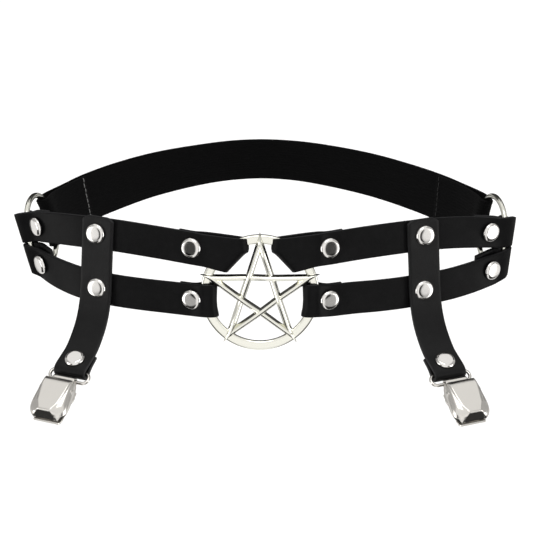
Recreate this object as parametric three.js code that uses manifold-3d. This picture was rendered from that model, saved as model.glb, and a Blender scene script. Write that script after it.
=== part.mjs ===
// Thigh harness: two pairs of short leather straps meet at a metal ring with a five-pointed star
// on the front of the thigh, a wide elastic closes the loop behind, and two short garter straps
// hang from the leather, each with a spring clip. Millimetres, +Z up, -Y is the front of the
// thigh, and the origin is the middle of the loop.
import * as THREE from "three";
import { mergeVertices } from "three/addons/utils/BufferGeometryUtils.js";
import Module from "manifold-3d";

const wasm = await Module();
wasm.setup();

// Driving sizes
const STRAP_WIDTH = 12.5;
const LEATHER = 1.6;
const LAYER_PITCH = 1.95;
const GAP = 0.3;
const ELASTIC_WIDTH = 20;
const ELASTIC_THICK = 1.3;
const GARTER_WIDTH = 13;

const RING_RADIUS = 20.6;
const RING_HALF_WIDTH = 1.8;
const RING_HALF_THICK = 1.2;
const RING_CENTRE = new THREE.Vector3(-0.4, -66.8, -7.2);
const RING_LEAN = 9;
const STAR_RADIUS = 23.6;
const BAR_WIDTH = 2.1;
const BAR_HEIGHT = 1.6;

const SIDE_RING_RADIUS = 13.9;
const SIDE_WIRE = 1.1;

const CAP_RADIUS = 4;
const CAP_HEIGHT = 1.9;
const SHANK_RADIUS = 1.5;
const BACK_RADIUS = 2.9;
const ROOM_SIDES = 6;

const CLIP_WIRE = 0.65;

const rad = THREE.MathUtils.degToRad;
const V = (x, y, z) => new THREE.Vector3(x, y, z);

// Looks
const leather = new THREE.MeshStandardMaterial({ color: 0x1b1b1d, roughness: 0.5, metalness: 0 });
const webbing = new THREE.MeshStandardMaterial({ color: 0x0d0d0e, roughness: 0.85, metalness: 0 });
const silver = new THREE.MeshStandardMaterial({ color: 0xd9d8cf, roughness: 0.18, metalness: 1 });
const nickel = new THREE.MeshStandardMaterial({ color: 0xc9c6c2, roughness: 0.16, metalness: 1 });

// Solids from closed geometries, and back
function solidOf(geometry) {
  const bare = geometry.clone();
  bare.deleteAttribute("normal");
  bare.deleteAttribute("uv");
  const merged = mergeVertices(bare, 1e-4);
  return new wasm.Manifold(new wasm.Mesh({
    numProp: 3,
    vertProperties: new Float32Array(merged.attributes.position.array),
    triVerts: new Uint32Array(merged.index.array),
  }));
}

function geometryOf(solid) {
  const mesh = solid.getMesh();
  const geometry = new THREE.BufferGeometry();
  geometry.setAttribute("position", new THREE.BufferAttribute(new Float32Array(mesh.vertProperties), 3));
  geometry.setIndex(new THREE.BufferAttribute(new Uint32Array(mesh.triVerts), 1));
  geometry.computeVertexNormals();
  return geometry;
}

function subtractAll(geometry, cutters) {
  let solid = solidOf(geometry);
  for (const cutter of cutters) {
    solid = solid.subtract(solidOf(cutter));
  }
  return geometryOf(solid);
}

// A closed skin over rings of points: each ring has the same number of points, and the ends are
// closed by fans.
function loftRings(rings) {
  const n = rings[0].length;
  const points = rings.flat();
  const index = [];
  for (let i = 0; i + 1 < rings.length; i += 1) {
    for (let j = 0; j < n; j += 1) {
      const a = i * n + j;
      const b = i * n + ((j + 1) % n);
      index.push(a, b, b + n, a, b + n, a + n);
    }
  }
  const last = (rings.length - 1) * n;
  for (let j = 1; j + 1 < n; j += 1) {
    index.push(0, j + 1, j);
    index.push(last, last + j, last + j + 1);
  }
  const geometry = new THREE.BufferGeometry().setFromPoints(points);
  geometry.setIndex(index);
  return facesOut(geometry);
}

function facesOut(geometry) {
  const p = geometry.attributes.position;
  const index = geometry.index;
  const a = V(0, 0, 0);
  const b = V(0, 0, 0);
  const c = V(0, 0, 0);
  let volume = 0;
  for (let i = 0; i < index.count; i += 3) {
    a.fromBufferAttribute(p, index.getX(i));
    b.fromBufferAttribute(p, index.getX(i + 1));
    c.fromBufferAttribute(p, index.getX(i + 2));
    volume += a.dot(b.cross(c)) / 6;
  }
  if (volume < 0) {
    for (let i = 0; i < index.count; i += 3) {
      const keep = index.getX(i + 1);
      index.setX(i + 1, index.getX(i + 2));
      index.setX(i + 2, keep);
    }
  }
  return geometry;
}

// A strap as a sheet of even thickness. rows is a list of { at, steps }: at(v) gives the middle of
// the sheet at v across its width, and steps is how many faces reach to the next row. Every fibre
// along the strap is one smooth curve through the rows.
function sheet(rows, width, thickness, columns) {
  const across = Array.from({ length: columns + 1 }, (_, j) => (j / columns - 0.5) * width);
  const params = [];
  rows.forEach((row, k) => {
    for (let m = 0; m < (k + 1 < rows.length ? row.steps : 1); m += 1) {
      params.push((k + (k + 1 < rows.length ? m / row.steps : 0)) / (rows.length - 1));
    }
  });
  const fibres = across.map((v) => {
    const curve = new THREE.CatmullRomCurve3(rows.map((row) => row.at(v)), false, "centripetal");
    return params.map((t) => curve.getPoint(Math.min(t, 1)));
  });
  const count = params.length;
  const rings = [];
  for (let i = 0; i < count; i += 1) {
    const upper = [];
    const lower = [];
    for (let j = 0; j <= columns; j += 1) {
      const along = fibres[j][Math.min(i + 1, count - 1)].clone().sub(fibres[j][Math.max(i - 1, 0)]);
      const over = fibres[Math.min(j + 1, columns)][i].clone().sub(fibres[Math.max(j - 1, 0)][i]);
      const normal = along.cross(over).normalize().multiplyScalar(thickness / 2);
      upper.push(fibres[j][i].clone().add(normal));
      lower.push(fibres[j][i].clone().sub(normal));
    }
    rings.push(upper.concat(lower.reverse()));
  }
  const n = rings[0].length;
  const index = [];
  for (let i = 0; i + 1 < count; i += 1) {
    for (let j = 0; j < n; j += 1) {
      const a = i * n + j;
      const b = i * n + ((j + 1) % n);
      index.push(a, b, b + n, a, b + n, a + n);
    }
  }
  for (const [i, flip] of [[0, true], [count - 1, false]]) {
    for (let j = 0; j < columns; j += 1) {
      const a = i * n + j;
      const b = a + 1;
      const c = i * n + (n - 1 - j);
      const d = c - 1;
      if (flip) {
        index.push(a, c, b, b, c, d);
      } else {
        index.push(a, b, c, b, d, c);
      }
    }
  }
  const geometry = new THREE.BufferGeometry().setFromPoints(rings.flat());
  geometry.setIndex(index);
  return facesOut(geometry);
}

// Value of a table at x: the rows are sorted by their first column.
function lookUp(table, x) {
  if (x <= table[0][0]) {
    return table[0][1];
  }
  for (let i = 1; i < table.length; i += 1) {
    if (x <= table[i][0]) {
      const [x0, y0] = table[i - 1];
      const [x1, y1] = table[i];
      return y0 + ((y1 - y0) * (x - x0)) / (x1 - x0);
    }
  }
  return table[table.length - 1][1];
}

// Frame of the star ring: X to the right and Y up in its plane, Z out of the thigh.
const starFrame = new THREE.Matrix4()
  .makeRotationX(rad(90 - RING_LEAN))
  .setPosition(RING_CENTRE);
const onRing = (x, y, h) => V(x, y, h).applyMatrix4(starFrame);

// Frames of the two side rings: l runs along the band from the back to the front, v up, h outward.
const sideRings = {
  left: { centre: V(-87.2, -19.2, 0), turn: 15.5, lean: 11, side: -1 },
  right: { centre: V(92, -20.4, 0), turn: 15, lean: 6, side: 1 },
};
for (const ring of Object.values(sideRings)) {
  const turn = rad(ring.turn);
  const lean = rad(ring.lean);
  const level = V(ring.side * Math.cos(turn), Math.sin(turn), 0);
  ring.forward = V(ring.side * Math.sin(turn), -Math.cos(turn), 0);
  ring.up = level.clone().multiplyScalar(Math.sin(lean)).add(V(0, 0, Math.cos(lean)));
  ring.out = level.clone().multiplyScalar(Math.cos(lean)).add(V(0, 0, -Math.sin(lean)));
  ring.at = (l, v, h) => ring.centre.clone()
    .addScaledVector(ring.forward, l)
    .addScaledVector(ring.up, v)
    .addScaledVector(ring.out, h);
}

// Middle line of each strap between the rings, on the middle of the outer layer. x, y and z in mm;
// turn is the angle of the surface from facing front, lean how far the top tips towards the thigh.
const STRAPS = {
  upper_strap_left: {
    side: -1,
    level: 6.6,
    path: [
      { x: -26.0, y: -65.0, z: 10.0, turn: 19, lean: 9, steps: 2 },
      { x: -35.0, y: -61.4, z: 10.3, turn: 20, lean: 8, steps: 1 },
      { x: -45.0, y: -57.6, z: 10.6, turn: 21, lean: 8, steps: 1 },
      { x: -54.0, y: -54.2, z: 10.8, turn: 22, lean: 8, steps: 1 },
      { x: -62.0, y: -50.7, z: 10.6, turn: 24, lean: 8, steps: 1 },
      { x: -71.0, y: -46.5, z: 10.1, turn: 29, lean: 7, steps: 1 },
      { x: -78.5, y: -42.1, z: 9.3, turn: 36, lean: 4, steps: 1 },
      { x: -84.5, y: -37.7, z: 8.2, turn: 41, lean: 0, steps: 1 },
      { x: -88.6, y: -34.6, z: 7.2, turn: 40, lean: -5, steps: 2 },
    ],
  },
  lower_strap_left: {
    side: -1,
    level: -6.6,
    path: [
      { x: -26.0, y: -67.4, z: -10.0, turn: 23, lean: 9, steps: 2 },
      { x: -35.0, y: -63.9, z: -10.4, turn: 22, lean: 8, steps: 1 },
      { x: -45.0, y: -60.3, z: -10.7, turn: 21, lean: 8, steps: 1 },
      { x: -54.0, y: -56.9, z: -10.8, turn: 22, lean: 8, steps: 1 },
      { x: -62.0, y: -53.4, z: -10.7, turn: 24, lean: 8, steps: 1 },
      { x: -71.0, y: -48.7, z: -10.1, turn: 30, lean: 6, steps: 1 },
      { x: -78.5, y: -43.0, z: -9.4, turn: 36, lean: 2, steps: 1 },
      { x: -83.8, y: -38.0, z: -8.7, turn: 41, lean: -3, steps: 1 },
      { x: -87.2, y: -34.9, z: -8.0, turn: 42, lean: -7, steps: 2 },
    ],
  },
  upper_strap_right: {
    side: 1,
    level: 6.6,
    path: [
      { x: 25.6, y: -64.4, z: 9.7, turn: 19, lean: 9, steps: 2 },
      { x: 35.0, y: -60.4, z: 9.8, turn: 21, lean: 8, steps: 1 },
      { x: 45.0, y: -56.3, z: 9.8, turn: 22, lean: 8, steps: 1 },
      { x: 54.0, y: -52.5, z: 9.6, turn: 23, lean: 8, steps: 1 },
      { x: 61.6, y: -49.0, z: 9.2, turn: 23, lean: 8, steps: 1 },
      { x: 72.0, y: -44.8, z: 8.5, turn: 25, lean: 8, steps: 1 },
      { x: 81.0, y: -41.0, z: 7.3, turn: 29, lean: 7, steps: 1 },
      { x: 88.5, y: -37.8, z: 6.0, turn: 32, lean: 3, steps: 1 },
      { x: 93.2, y: -35.8, z: 5.0, turn: 33, lean: -1, steps: 2 },
    ],
  },
  lower_strap_right: {
    side: 1,
    level: -6.6,
    path: [
      { x: 25.6, y: -67.0, z: -10.4, turn: 23, lean: 9, steps: 2 },
      { x: 35.0, y: -63.0, z: -11.0, turn: 22, lean: 8, steps: 1 },
      { x: 45.0, y: -58.9, z: -11.8, turn: 22, lean: 8, steps: 1 },
      { x: 54.0, y: -55.2, z: -12.2, turn: 23, lean: 8, steps: 1 },
      { x: 61.6, y: -51.8, z: -12.3, turn: 23, lean: 8, steps: 1 },
      { x: 72.0, y: -47.3, z: -12.1, turn: 25, lean: 8, steps: 1 },
      { x: 81.0, y: -42.8, z: -11.3, turn: 28, lean: 8, steps: 1 },
      { x: 88.0, y: -39.0, z: -10.3, turn: 31, lean: 5, steps: 1 },
      { x: 92.4, y: -36.3, z: -9.7, turn: 32, lean: 0, steps: 2 },
    ],
  },
};

// Frame on a strap at a row of its table: out of the thigh, up across the width, and along.
function frameAt(side, row) {
  const turn = rad(row.turn);
  const lean = rad(row.lean);
  const level = V(side * Math.sin(turn), -Math.cos(turn), 0);
  const up = level.clone().multiplyScalar(-Math.sin(lean)).add(V(0, 0, Math.cos(lean)));
  const out = level.clone().multiplyScalar(Math.cos(lean)).add(V(0, 0, Math.sin(lean)));
  return { at: V(row.x, row.y, row.z), up, out };
}

// Where the fold stops inside the star ring, as x from its middle for each height y, and the height
// of the strap's middle line at the ring.
const RING_FOLD = {
  upper: { middle: 16.7, slope: 0.2, edge: [[8, 13.4], [12, 10.2], [15.3, 7.1], [17.5, 5.0], [21, 4.4]] },
  lower: { middle: -2.8, slope: 0.04, edge: [[-10, 14.2], [-6, 15.3], [-3, 16.1], [0, 16.7], [3.6, 17.9]] },
};

function ringFoldRows(side, fold) {
  const heightAt = (x, v) => fold.middle - fold.slope * (21 - x) + v;
  const lift = RING_HALF_THICK + GAP + LEATHER / 2;
  const stop = (v) => {
    let x = 14;
    for (let i = 0; i < 6; i += 1) {
      x = lookUp(fold.edge, heightAt(x, v)) + LEATHER / 2;
    }
    return x;
  };
  const reach = (v) => {
    const sine = Math.min(Math.abs(heightAt(14, v)) / RING_RADIUS, 0.87);
    return lift / Math.sqrt(1 - sine * sine);
  };
  const point = (x, v, h) => onRing(side * x, heightAt(x, v), h);
  const turnRow = (degrees, steps) => ({
    steps,
    at: (v) => {
      const a = rad(degrees);
      const x = stop(v) + reach(v) * (1 - Math.cos(a));
      return point(x, v, lift * Math.sin(a));
    },
  });
  const inner = { steps: 1, at: (v) => point(21.3, v, -lift) };
  const outer = { steps: 1, at: (v) => point(21.3, v, lift) };
  return [inner, turnRow(-90, 1), turnRow(-45, 1), turnRow(0, 1), turnRow(45, 1), turnRow(90, 1), outer];
}

function sideFoldRows(ring, level, drop) {
  const lift = SIDE_WIRE + GAP + LEATHER / 2;
  const stop = 3;
  const heightAt = (l, v) => level + v - drop * (l - stop);
  const turnRow = (degrees, steps) => ({
    steps,
    at: (v) => {
      const l = stop + lift * (1 - Math.cos(rad(degrees)));
      return ring.at(l, heightAt(l, v), lift * Math.sin(rad(degrees)));
    },
  });
  const outer = { steps: 2, at: (v) => ring.at(14.2, heightAt(14.2, v), lift) };
  const inner = { steps: 2, at: (v) => ring.at(14.2, heightAt(14.2, v), -lift) };
  return [outer, turnRow(90, 1), turnRow(45, 1), turnRow(0, 1), turnRow(-45, 1), turnRow(-90, 2), inner];
}

function strapRows(spec) {
  const fold = spec.level > 0 ? RING_FOLD.upper : RING_FOLD.lower;
  const ring = spec.side < 0 ? sideRings.left : sideRings.right;
  const drop = spec.side < 0 ? 0 : 0.19;
  const frames = spec.path.map((row) => frameAt(spec.side, row));
  const onRow = (frame, shift, depth, steps) => ({
    steps,
    at: (v) => frame.at.clone()
      .add(shift)
      .addScaledVector(frame.up, v)
      .addScaledVector(frame.out, -depth),
  });
  const still = V(0, 0, 0);
  const first = frames[0];
  const last = frames[frames.length - 1];
  const towards = (a, b, share) => b.at.clone().sub(a.at).multiplyScalar(share);
  const rows = [];
  rows.push(onRow(first, towards(first, frames[1], 0.62), LAYER_PITCH, 2));
  rows.push(onRow(first, still, LAYER_PITCH, 2));
  rows.push(...ringFoldRows(spec.side, fold));
  frames.forEach((frame, i) => rows.push(onRow(frame, still, 0, spec.path[i].steps)));
  rows.push(...sideFoldRows(ring, spec.level - (spec.side < 0 ? 0 : 0.2), drop));
  rows.push(onRow(last, still, LAYER_PITCH, 2));
  rows.push(onRow(last, towards(last, frames[frames.length - 2], 1.25), LAYER_PITCH, 1));
  return rows;
}

// Room for the rings in the leather and the elastic
function torus(radius, half, flat, around, sides) {
  const profile = Array.from({ length: sides + 1 }, (_, k) => {
    const a = (2 * Math.PI * k) / sides;
    return new THREE.Vector2(radius + half * Math.cos(a), flat * Math.sin(a));
  });
  return new THREE.LatheGeometry(profile, around).rotateX(Math.PI / 2);
}

const starRoom = torus(RING_RADIUS, RING_HALF_WIDTH + GAP, RING_HALF_THICK + GAP, 28, 8)
  .applyMatrix4(starFrame);

function sideMatrix(ring) {
  const matrix = new THREE.Matrix4().makeBasis(ring.forward, ring.up, ring.forward.clone().cross(ring.up));
  return matrix.setPosition(ring.centre);
}
const sideRoom = (ring) => torus(SIDE_RING_RADIUS, SIDE_WIRE + GAP, SIDE_WIRE + GAP, 24, 6)
  .applyMatrix4(sideMatrix(ring));

// Rivets: a low flattened cap, a shank through the layers and a small cap behind
function rivetProfile(stack) {
  const back = stack + 0.4;
  return [
    [0, CAP_HEIGHT + 0.3],
    [CAP_RADIUS * 0.64, CAP_HEIGHT + 0.15],
    [CAP_RADIUS, CAP_HEIGHT * 0.5 + 0.3],
    [CAP_RADIUS, 0.3],
    [SHANK_RADIUS, 0.3],
    [SHANK_RADIUS, -back],
    [BACK_RADIUS, -back],
    [BACK_RADIUS, -back - 0.8],
    [0, -back - 0.8],
  ].map(([r, h]) => new THREE.Vector2(r, h)).reverse();
}

function rivetMatrix(at, out) {
  const turned = new THREE.Quaternion().setFromUnitVectors(V(0, 1, 0), out);
  return new THREE.Matrix4().compose(at, turned, V(1, 1, 1));
}

const rivets = [];
function addRivet(name, frame, along, rise, lift, stack) {
  const at = frame.at.clone()
    .add(along)
    .addScaledVector(frame.up, rise)
    .addScaledVector(frame.out, LEATHER / 2 + lift);
  rivets.push({ name, at, out: frame.out, stack });
  return rivets[rivets.length - 1];
}

const strapRivets = {};
for (const [name, spec] of Object.entries(STRAPS)) {
  const frames = spec.path.map((row) => frameAt(spec.side, row));
  const last = frames.length - 1;
  const short = name.replace("_strap", "");
  const pair = LEATHER + LAYER_PITCH;
  const none = V(0, 0, 0);
  const ringEnd = addRivet(`rivet_${short}_ring`, frames[0], none, 0.3, 0, pair);
  const sideStep = frames[last - 1].at.clone().sub(frames[last].at).multiplyScalar(0.2);
  const sideEnd = addRivet(`rivet_${short}_side`, frames[last], sideStep, 0.3, 0, pair);
  const post = addRivet(`rivet_${short}_post`, frames[4], none, 0.4, LEATHER + GAP, pair);
  strapRivets[name] = [ringEnd, sideEnd, post];
}

// Room for a rivet in the leather: the flats of its polygon stay a gap clear of the round piece.
function rivetRoom(rivet) {
  const back = rivet.stack + 0.4 - GAP;
  const clear = (radius) => (radius + GAP) / Math.cos(Math.PI / ROOM_SIDES);
  const profile = [
    [0, 4], [clear(CAP_RADIUS), 4], [clear(CAP_RADIUS), 0], [clear(SHANK_RADIUS), 0],
    [clear(SHANK_RADIUS), -back], [clear(BACK_RADIUS), -back], [clear(BACK_RADIUS), -back - 3], [0, -back - 3],
  ].map(([r, h]) => new THREE.Vector2(r, h)).reverse();
  return new THREE.LatheGeometry(profile, ROOM_SIDES).applyMatrix4(rivetMatrix(rivet.at, rivet.out));
}

// Garter straps: out is the distance from the leather's outer face, measured away from the thigh,
// down the middle of the strap.
const GARTERS = {
  left: { side: -1, x: -63.15, y: -54.7, turn: 24, drop: 0 },
  right: { side: 1, x: 62.8, y: -53.25, turn: 23, drop: -1.5 },
};
const GARTER_DRAPE = [
  { out: -2.4, z: 17.9, steps: 1 },
  { out: -1.45, z: 10.7, steps: 1 },
  { out: 0.0, z: 0.0, steps: 1 },
  { out: 1.45, z: -10.7, steps: 1 },
  { out: 3.0, z: -16.6, steps: 1 },
  { out: 6.2, z: -21.8, steps: 1 },
  { out: 10.4, z: -26.2, steps: 1 },
  { out: 15.3, z: -29.9, steps: 1 },
  { out: 19.2, z: -32.6, steps: 1 },
];
const CLIP_PITCH = 34;

function garterFrame(spec) {
  const turn = rad(spec.turn);
  const out = V(spec.side * Math.sin(turn), -Math.cos(turn), 0);
  const over = V(Math.cos(turn), spec.side * Math.sin(turn), 0);
  const at = (o, z, v) => V(spec.x, spec.y, spec.drop).addScaledVector(out, o).addScaledVector(over, v)
    .add(V(0, 0, z));
  return { out, over, at };
}

// The strap's end: down is the way it points, lift is square to it on the outside.
function garterEnd(spec) {
  const frame = garterFrame(spec);
  const pitch = rad(CLIP_PITCH);
  const down = frame.out.clone().multiplyScalar(Math.cos(pitch)).add(V(0, 0, -Math.sin(pitch)));
  const lift = frame.out.clone().multiplyScalar(Math.sin(pitch)).add(V(0, 0, Math.cos(pitch)));
  const wire = frame.at(22.6, -34.9, 0).addScaledVector(lift, -1.8);
  return { down, lift, over: frame.over, wire, frame };
}

function garterRows(spec) {
  const { down, lift, over, wire, frame } = garterEnd(spec);
  const corner = (v) => Math.max(0, Math.abs(v) - 3.4) ** 2 * 0.17;
  const rows = GARTER_DRAPE.map((row, i) => ({
    steps: row.steps,
    at: (v) => {
      const drop = i === 0 ? corner(v) : 0;
      return frame.at(row.out + drop * 0.14 - 0.8, row.z - drop, v);
    },
  }));
  const bend = CLIP_WIRE + GAP + LEATHER / 2;
  const place = (a, v, h) => wire.clone()
    .addScaledVector(down, a)
    .addScaledVector(over, v)
    .addScaledVector(lift, h);
  const turn = (degrees) => ({
    steps: 1,
    at: (v) => place(bend * Math.cos(rad(degrees)), v, bend * Math.sin(rad(degrees))),
  });
  rows.push(turn(90), turn(45), turn(0), turn(-45), turn(-90));
  rows.push({ steps: 1, at: (v) => place(-3.6, v, -bend + 0.7) });
  rows.push({ steps: 2, at: (v) => place(-8.6, v, -bend + 0.3) });
  return rows;
}

// Clips. In a clip's own frame: a down the clip, b across it, c out of its front; the tube that
// holds the wire is at the origin.
const HINGE = { a: 5.2, c: 2.2, radius: 0.8 };
const COVER = [
  { a: 1.6, half: 5.2, top: 4.3, rim: 2.4 },
  { a: 2.2, half: 5.6, top: 5.0, rim: 1.6 },
  { a: 4.5, half: 6.2, top: 5.6, rim: 1.3 },
  { a: 8.0, half: 6.7, top: 5.7, rim: 1.3 },
  { a: 12.0, half: 7.0, top: 5.3, rim: 1.3 },
  { a: 15.5, half: 6.9, top: 4.5, rim: 1.4 },
  { a: 18.2, half: 6.2, top: 3.3, rim: 1.6 },
  { a: 19.8, half: 4.9, top: 2.2, rim: 1.5 },
];
const SKIN = 0.8;

// Cross-section of the stamped cover at one row: a flat panel in the middle, round shoulders and
// upright sides. Shrunk by skin it is the hollow inside.
function coverRing(row, skin, a, floor) {
  const half = row.half - skin;
  const top = row.top - skin;
  const low = floor;
  const round = Math.min(2.4, (top - low) * 0.9);
  const side = [];
  for (let k = 0; k <= 3; k += 1) {
    const s = (Math.PI / 2) * (k / 3);
    side.push([half - round * 0.9 * (1 - Math.cos(s)) - (k === 3 ? 0.2 : 0), top - round * (1 - Math.sin(s))]);
  }
  const right = [[half, low], ...side];
  const left = right.map(([b, c]) => [-b, c]).reverse();
  return right.concat(left).map(([b, c]) => V(a, b, c));
}

function clipCover() {
  const outer = loftRings(COVER.map((row) => coverRing(row, 0, row.a, row.rim)));
  const inner = loftRings(COVER.slice(0, 7).map((row, i) => {
    const a = [3.0, 3.3, 5.0, 8.0, 12.0, 15.2, 17.6][i];
    return coverRing(row, SKIN, a, -1);
  }));
  let solid = solidOf(outer).subtract(solidOf(inner));
  const notch = new THREE.BoxGeometry(2.2, 4.4, 6).translate(20.2, 0, 0.6);
  solid = solid.subtract(solidOf(notch));
  for (const s of [-1, 1]) {
    const lug = new THREE.BoxGeometry(3.0, 0.9, 4.2).translate(HINGE.a, s * 2.95, 3.1);
    solid = solid.add(solidOf(lug));
  }
  const hole = new THREE.CylinderGeometry(HINGE.radius + 0.35, HINGE.radius + 0.35, 7.4, 10)
    .translate(HINGE.a, 0, HINGE.c);
  return solid.subtract(solidOf(hole));
}

// Back plate with the curled tube, two ears for the pin and the turned-up lip at the nose
function clipFrame() {
  const plateRows = [
    { a: 0.9, half: 4.6 }, { a: 2.4, half: 4.9 }, { a: 5.0, half: 5.0 }, { a: 12.0, half: 5.3 },
    { a: 16.5, half: 5.2 }, { a: 18.2, half: 4.6 },
  ];
  const outline = new THREE.Shape();
  outline.moveTo(plateRows[0].a, -plateRows[0].half);
  plateRows.slice(1).forEach((row) => outline.lineTo(row.a, -row.half));
  plateRows.slice().reverse().forEach((row) => outline.lineTo(row.a, row.half));
  outline.closePath();
  const plate = new THREE.ExtrudeGeometry(outline, { depth: 0.8, bevelEnabled: false })
    .translate(0, 0, -1.2);
  const tube = new THREE.CylinderGeometry(1.75, 1.75, 9.2, 14);
  const bore = new THREE.CylinderGeometry(CLIP_WIRE + 0.32, CLIP_WIRE + 0.32, 12, 12);
  let solid = solidOf(plate).add(solidOf(tube)).subtract(solidOf(bore));
  const lipShape = new THREE.Shape([
    [17.2, -1.2], [18.9, -1.2], [19.3, 0.9], [18.6, 0.9], [18.2, -0.5], [17.2, -0.5],
  ].map(([a, c]) => new THREE.Vector2(a, c)));
  const lip = new THREE.ExtrudeGeometry(lipShape, { depth: 8, bevelEnabled: false })
    .rotateX(Math.PI / 2).translate(0, 4, 0);
  solid = solid.add(solidOf(lip));
  for (const s of [-1, 1]) {
    const ear = new THREE.BoxGeometry(2.4, 0.8, 4.2).translate(HINGE.a + 0.3, s * 4.05, 1.1);
    solid = solid.add(solidOf(ear));
  }
  const pin = new THREE.CylinderGeometry(HINGE.radius, HINGE.radius, 8.6, 10)
    .translate(HINGE.a, 0, HINGE.c);
  return solid.add(solidOf(pin));
}

// Wire loop: a rounded oblong from the strap's fold to the clip's tube, a closed round tube
const LOOP_REACH = 5.2;
const LOOP_HALF = 8.2;
const LOOP_CORNER = 1.9;
function wireLoop() {
  const sides = 6;
  const corners = [[-LOOP_REACH, -LOOP_HALF], [-LOOP_REACH, LOOP_HALF], [0, LOOP_HALF], [0, -LOOP_HALF]]
    .map(([a, b]) => V(a, b, 0));
  const points = corners.flatMap((p, i) => {
    const before = corners[(i + 3) % 4].clone().sub(p).normalize();
    const after = corners[(i + 1) % 4].clone().sub(p).normalize();
    const from = p.clone().addScaledVector(before, LOOP_CORNER);
    const to = p.clone().addScaledVector(after, LOOP_CORNER);
    return new THREE.QuadraticBezierCurve3(from, p, to).getPoints(2);
  });
  const around = points.length;
  const rings = points.map((p, i) => {
    const along = points[(i + 1) % around].clone().sub(points[(i + around - 1) % around]).normalize();
    const side = along.cross(V(0, 0, 1));
    return Array.from({ length: sides }, (_, k) => {
      const s = (2 * Math.PI * (k + 0.5)) / sides;
      return p.clone().addScaledVector(side, CLIP_WIRE * Math.cos(s)).add(V(0, 0, CLIP_WIRE * Math.sin(s)));
    });
  });
  const index = [];
  for (let i = 0; i < around; i += 1) {
    const here = i * sides;
    const next = ((i + 1) % around) * sides;
    for (let k = 0; k < sides; k += 1) {
      const m = (k + 1) % sides;
      index.push(here + k, here + m, next + m, here + k, next + m, next + k);
    }
  }
  const geometry = new THREE.BufferGeometry().setFromPoints(rings.flat());
  geometry.setIndex(index);
  return facesOut(geometry);
}

function clipMatrix(spec) {
  const end = garterEnd(spec);
  const a = end.down;
  const c = end.lift;
  const b = c.clone().cross(a);
  const origin = end.wire.clone().addScaledVector(a, LOOP_REACH);
  return new THREE.Matrix4().makeBasis(a, b, c).setPosition(origin);
}

// Star: five bars on the lines of a pentagram, woven over and under, cast in one with the ring.
// Each bar lies between its line and one parallel to it, so that two of them meet in a sharp tip.
const STAR_LINES = [
  { from: 90, to: 234, first: 1, second: -1 },
  { from: 162, to: 306, first: 1, second: -1 },
  { from: 234, to: 18, first: 1, second: -1 },
  { from: 306, to: 90, first: 1, second: -1 },
  { from: 18, to: 162, first: 1, second: -1 },
];

function starBar(line) {
  const tip = (degrees) => V(
    STAR_RADIUS * Math.cos(rad(degrees)),
    STAR_RADIUS * Math.sin(rad(degrees)),
    0,
  );
  const start = tip(line.from);
  const end = tip(line.to);
  const length = start.distanceTo(end);
  const along = end.clone().sub(start).normalize();
  const inward = start.clone().add(end).multiplyScalar(-0.5).normalize();
  const cross = length * 0.382;
  const stations = [0.3, 1.5, 3.0, 8.5, cross - 1.8, cross + 2.4];
  const all = stations.concat(stations.slice().reverse().map((s) => length - s));
  const base = [
    [0, 0.5], [3, 0.6], [9, 1.0], [cross - 1.6, 1.0 + 0.5 * line.first],
    [cross + 2.2, 1.0 + 0.5 * line.first], [length - cross - 2.2, 1.0 + 0.5 * line.second],
    [length - cross + 1.6, 1.0 + 0.5 * line.second], [length - 9, 1.05], [length - 3, 0.72], [length, 0.62],
  ];
  const slant = 0.96 * Math.tan(rad(36));
  const rings = all.map((s) => {
    const wide = Math.min(BAR_WIDTH, s * slant, (length - s) * slant);
    const share = wide / BAR_WIDTH;
    const low = lookUp(base, s);
    const point = (b, c) => start.clone()
      .addScaledVector(along, s)
      .addScaledVector(inward, b)
      .add(V(0, 0, low + c));
    const height = BAR_HEIGHT * (0.55 + 0.45 * share);
    return [
      point(0, 0), point(wide, 0), point(wide, height * 0.35),
      point(wide / 2, height), point(0, height * 0.35),
    ];
  });
  return loftRings(rings);
}

let star = solidOf(torus(RING_RADIUS, RING_HALF_WIDTH, RING_HALF_THICK, 30, 8));
for (const line of STAR_LINES) {
  star = star.add(solidOf(starBar(line)));
}

const harness = new THREE.Group();
function add(name, geometry, material) {
  const mesh = new THREE.Mesh(geometry, material);
  mesh.name = name;
  harness.add(mesh);
  return mesh;
}

// Leather straps, cut clear of the rings, the star's bars and the rivets
for (const [name, spec] of Object.entries(STRAPS)) {
  const ring = spec.side < 0 ? sideRings.left : sideRings.right;
  const columns = 3;
  const room = [starRoom, sideRoom(ring), ...strapRivets[name].map(rivetRoom)];
  add(name, subtractAll(sheet(strapRows(spec), STRAP_WIDTH, LEATHER, columns), room), leather);
}

// Garter straps and their end rivets
for (const [name, spec] of Object.entries(GARTERS)) {
  const { down, lift, wire } = garterEnd(spec);
  const bend = CLIP_WIRE + GAP + LEATHER / 2;
  const frame = { at: wire.clone().addScaledVector(down, -5.6).addScaledVector(lift, bend - 0.1), up: down, out: lift };
  const endRivet = addRivet(`rivet_garter_${name}`, frame, V(0, 0, 0), 0, 0.15, 2 * bend + LEATHER - 0.4);
  const posts = [strapRivets[`upper_strap_${name}`][2], strapRivets[`lower_strap_${name}`][2]];
  const room = [...posts, endRivet].map(rivetRoom);
  add(`garter_strap_${name}`, subtractAll(sheet(garterRows(spec), GARTER_WIDTH, LEATHER, 4), room), leather);
}

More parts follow.
